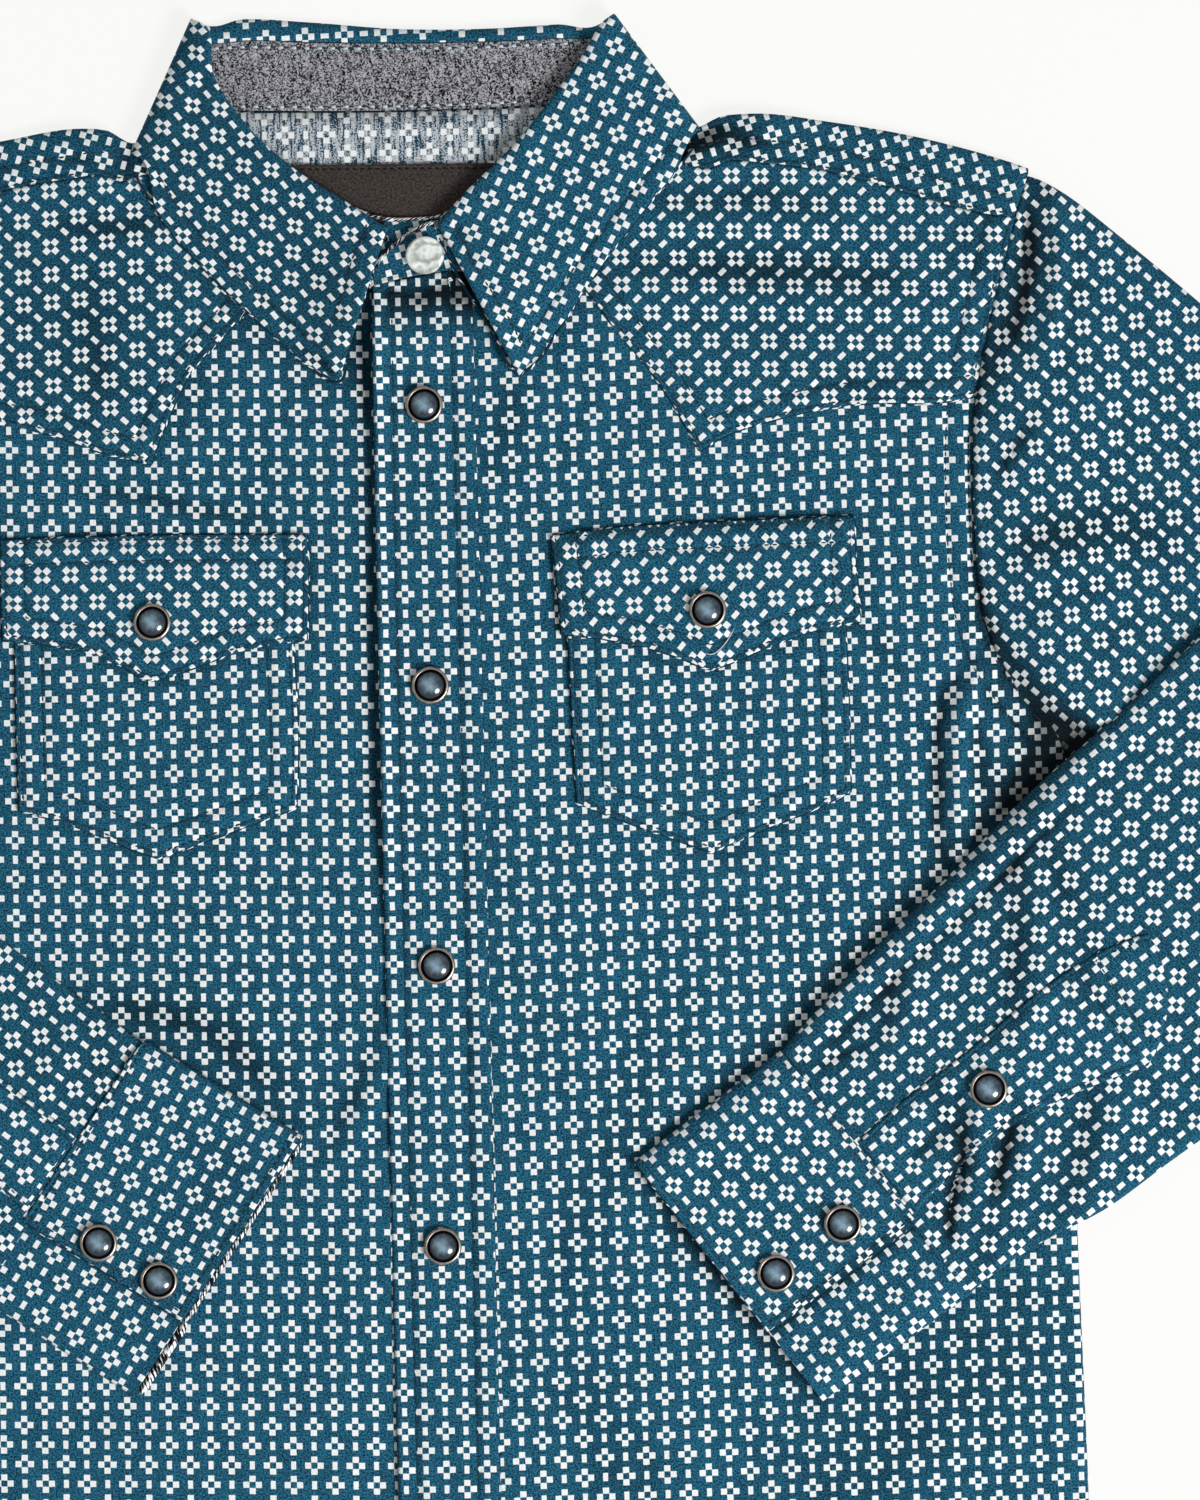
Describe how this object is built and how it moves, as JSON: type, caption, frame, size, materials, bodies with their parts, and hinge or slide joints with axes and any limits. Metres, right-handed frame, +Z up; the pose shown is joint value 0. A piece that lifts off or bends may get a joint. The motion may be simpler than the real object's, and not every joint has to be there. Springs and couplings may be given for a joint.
{
  "type": "child's long-sleeved western snap shirt laid flat",
  "caption": "Child's long-sleeved western shirt, laid flat and snapped shut, with pointed yokes, flapped pockets, a folded collar and sleeves folded over the front.",
  "frame": {"origin": "centre of the bounding box in plan, on the plane the shirt lies on", "axes": "+X towards the wearer's left, +Y towards the neck, +Z up from the table out of the shirt's front"},
  "size_m": [0.564, 0.594, 0.0118],
  "materials": {
    "print_cloth": "plain woven cotton, teal with a small white geometric print",
    "chambray": "grey chambray, white weft over a dark warp",
    "label_satin": "dark brown satin",
    "snap_metal": "antiqued bronze",
    "snap_pearl": "smoky blue-grey pearl",
    "clear_pearl": "translucent pearly white"
  },
  "bodies": {
    "root": {"back": "print_cloth", "back_yoke": "print_cloth", "left_front": "print_cloth", "right_front": "print_cloth", "left_front_yoke": "print_cloth", "right_front_yoke": "print_cloth", "front_placket": "print_cloth", "left_pocket": "print_cloth", "right_pocket": "print_cloth", "left_pocket_flap": "print_cloth", "right_pocket_flap": "print_cloth", "left_sleeve": "print_cloth", "right_sleeve": "print_cloth", "left_sleeve_placket": "print_cloth", "right_sleeve_placket": "print_cloth", "left_cuff": "print_cloth", "right_cuff": "print_cloth", "collar": "print_cloth", "collar_stand": "chambray", "neck_label": "label_satin", "collar_button": "clear_pearl", "front_snap_1_ring": "snap_metal", "front_snap_2_ring": "snap_metal", "front_snap_3_ring": "snap_metal", "front_snap_4_ring": "snap_metal", "front_snap_5_ring": "snap_metal", "front_snap_6_ring": "snap_metal", "left_flap_snap_ring": "snap_metal", "right_flap_snap_ring": "snap_metal", "left_cuff_snap_1_ring": "snap_metal", "left_cuff_snap_2_ring": "snap_metal", "right_cuff_snap_1_ring": "snap_metal", "right_cuff_snap_2_ring": "snap_metal", "left_sleeve_snap_ring": "snap_metal", "right_sleeve_snap_ring": "snap_metal", "front_snap_1_pearl": "snap_pearl", "front_snap_2_pearl": "snap_pearl", "front_snap_3_pearl": "snap_pearl", "front_snap_4_pearl": "snap_pearl", "front_snap_5_pearl": "snap_pearl", "front_snap_6_pearl": "snap_pearl", "left_flap_snap_pearl": "snap_pearl", "right_flap_snap_pearl": "snap_pearl", "left_cuff_snap_1_pearl": "snap_pearl", "left_cuff_snap_2_pearl": "snap_pearl", "right_cuff_snap_1_pearl": "snap_pearl", "right_cuff_snap_2_pearl": "snap_pearl", "left_sleeve_snap_pearl": "snap_pearl", "right_sleeve_snap_pearl": "snap_pearl"}
  },
  "joints": []
}
